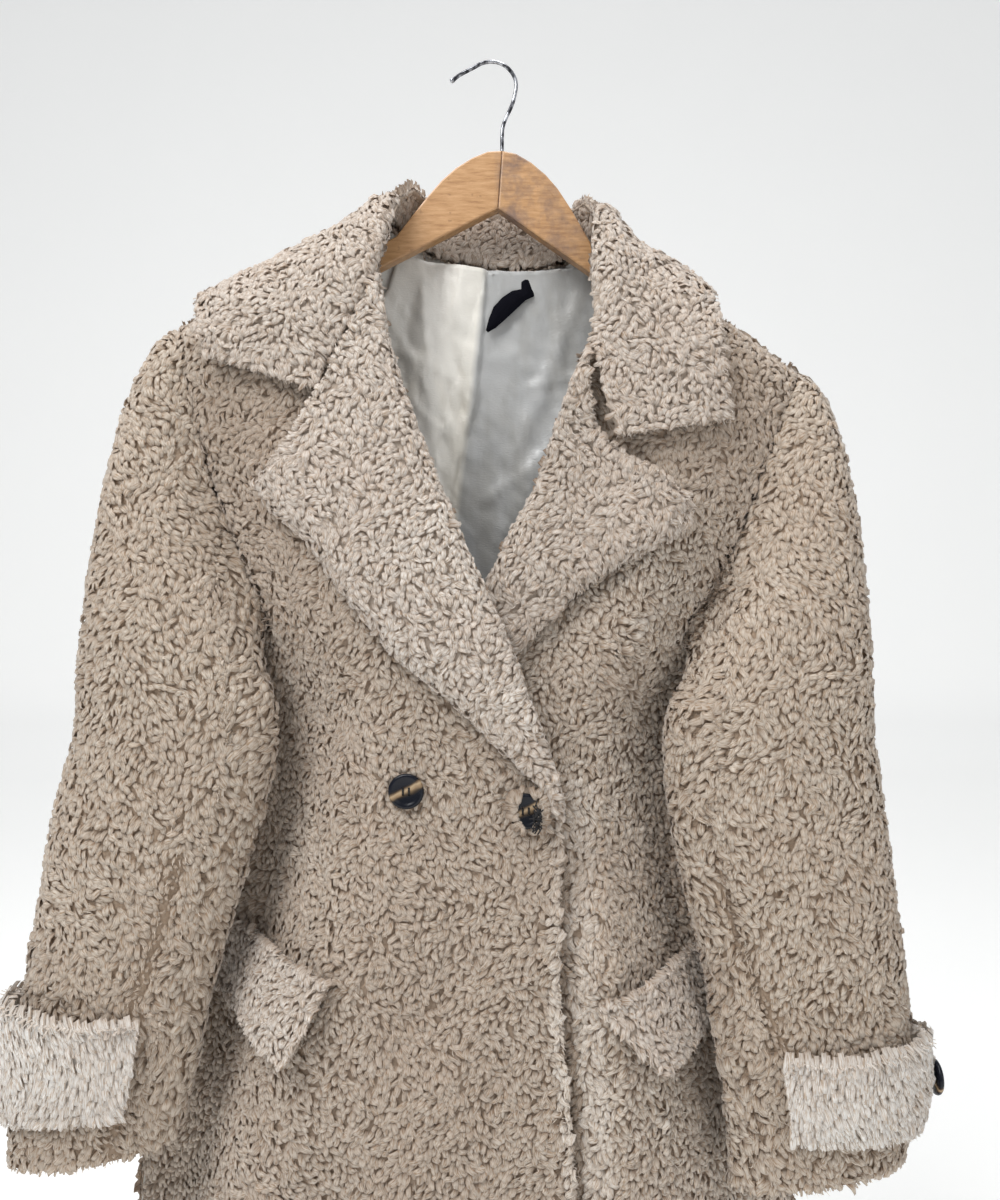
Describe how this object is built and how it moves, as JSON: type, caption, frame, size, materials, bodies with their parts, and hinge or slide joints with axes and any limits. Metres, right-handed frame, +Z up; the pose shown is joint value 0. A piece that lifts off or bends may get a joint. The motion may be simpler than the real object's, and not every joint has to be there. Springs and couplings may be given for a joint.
{
  "type": "faux fur coat on a wooden hanger",
  "caption": "Long faux fur coat with wide collar, lapels, cuff straps and pocket flaps, hanging open at the neck on a wooden hanger with a wire hook.",
  "frame": {"origin": "the point under the top of the hook's round where the hook rests on whatever holds it", "axes": "+Z up, -Y towards the viewer of the coat's front, +X towards the wearer's left"},
  "size_m": [0.747, 0.1825, 1.1984],
  "materials": {
    "fur_body": "curly faux fur pile",
    "fur_sleeve": "curly faux fur pile",
    "fur_collar": "curly faux fur pile",
    "fur_strap": "straighter faux fur pile",
    "lining_satin": "wrinkled satin",
    "label_black": "woven ribbon",
    "button_horn": "polished, horn pattern",
    "hanger_wood": "worn varnish",
    "hook_chrome": "worn"
  },
  "bodies": {
    "root": {"back": "fur_body", "right_front": "fur_body", "left_front": "fur_body", "right_pocket_flap": "fur_body", "left_pocket_flap": "fur_body", "right_lapel": "fur_collar", "left_lapel": "fur_collar", "collar_fall": "fur_collar", "collar_stand": "fur_collar", "right_sleeve_under": "fur_sleeve", "right_sleeve_top": "fur_sleeve", "left_sleeve_under": "fur_sleeve", "left_sleeve_top": "fur_sleeve", "right_cuff_strap": "fur_strap", "left_cuff_strap": "fur_strap", "right_cuff_button": "button_horn", "left_cuff_button": "button_horn", "button_top": "button_horn", "button_waist": "button_horn", "lining_back": "lining_satin", "neck_label": "label_black", "hanger_right_arm": "hanger_wood", "hanger_left_arm": "hanger_wood", "hanger_hook": "hook_chrome"}
  },
  "joints": []
}
